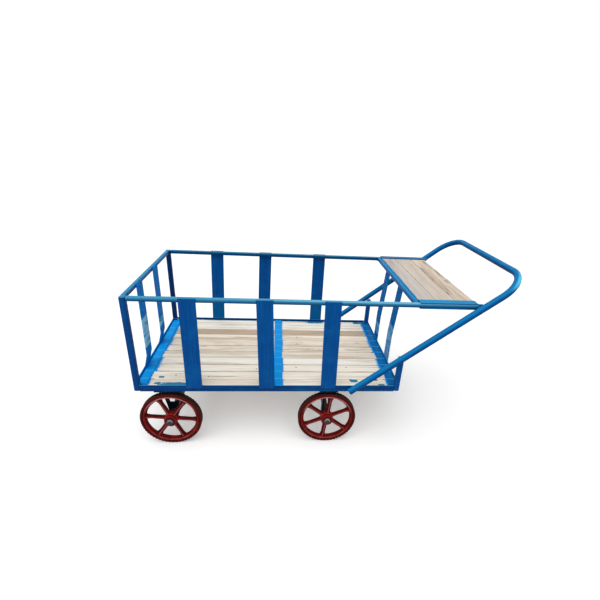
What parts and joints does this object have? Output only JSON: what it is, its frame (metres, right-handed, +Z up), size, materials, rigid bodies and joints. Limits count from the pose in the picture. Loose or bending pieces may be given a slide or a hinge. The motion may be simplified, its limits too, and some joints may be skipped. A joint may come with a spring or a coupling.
{
  "type": "four-wheeled fruit cart",
  "caption": "Steel-framed fruit cart with a slatted cage, plank deck, crosswise shelf, bent tube push handle and cast spoked wheels.",
  "frame": {"origin": "on the floor under the middle of the cart's overall length and width", "axes": "+X along the cart towards the push handle, +Y to the side away from the camera, +Z up"},
  "size_m": [1.6792, 0.7846, 0.8822],
  "materials": {
    "blue_paint": "brushed-on blue gloss, worn",
    "wood": "raw sawn boards",
    "wheel_red": "dark red paint on a rough casting",
    "tyre": "dusty black rubber",
    "zinc": "zinc plated",
    "bare_steel": "dark mill finish"
  },
  "bodies": {
    "cart": {"axle_bolts_left": "zinc", "axle_bolts_right": "zinc", "axle_left": "bare_steel", "axle_right": "bare_steel", "bottom_rail_far": "blue_paint", "bottom_rail_left": "blue_paint", "bottom_rail_near": "blue_paint", "bottom_rail_right": "blue_paint", "cross_bearer_left": "blue_paint", "cross_bearer_middle": "blue_paint", "cross_bearer_right": "blue_paint", "deck_boards": "wood", "deck_strip_left": "blue_paint", "deck_strip_middle": "blue_paint", "deck_strip_right": "blue_paint", "handle_tube": "blue_paint", "hanger_far_left": "blue_paint", "hanger_far_right": "blue_paint", "hanger_near_left": "blue_paint", "hanger_near_right": "blue_paint", "post_far_left": "blue_paint", "post_far_right": "blue_paint", "post_near_left": "blue_paint", "post_near_right": "blue_paint", "shelf_bearer_far": "blue_paint", "shelf_bearer_near": "blue_paint", "shelf_boards": "wood", "shelf_strip_far": "blue_paint", "shelf_strip_near": "blue_paint", "slats_far": "blue_paint", "slats_left": "blue_paint", "slats_near": "blue_paint", "slats_right": "blue_paint", "top_rail_far": "blue_paint", "top_rail_left": "blue_paint", "top_rail_near": "blue_paint", "top_rail_right": "blue_paint"},
    "near_left_wheel": {"wheel_near_left": "wheel_red", "tyre_near_left": "tyre"},
    "near_right_wheel": {"wheel_near_right": "wheel_red", "tyre_near_right": "tyre"},
    "far_left_wheel": {"wheel_far_left": "wheel_red", "tyre_far_left": "tyre"},
    "far_right_wheel": {"wheel_far_right": "wheel_red", "tyre_far_right": "tyre"}
  },
  "joints": [
    {"name": "near_left_wheel_spin", "type": "hinge", "parent": "cart", "child": "near_left_wheel", "pos_m": [-0.69759, -0.342, 0.139], "axis": [0, 1, 0], "continuous": true},
    {"name": "near_right_wheel_spin", "type": "hinge", "parent": "cart", "child": "near_right_wheel", "pos_m": [0.02941, -0.342, 0.139], "axis": [0, 1, 0], "continuous": true},
    {"name": "far_left_wheel_spin", "type": "hinge", "parent": "cart", "child": "far_left_wheel", "pos_m": [-0.69759, 0.342, 0.139], "axis": [0, 1, 0], "continuous": true},
    {"name": "far_right_wheel_spin", "type": "hinge", "parent": "cart", "child": "far_right_wheel", "pos_m": [0.02941, 0.342, 0.139], "axis": [0, 1, 0], "continuous": true}
  ]
}
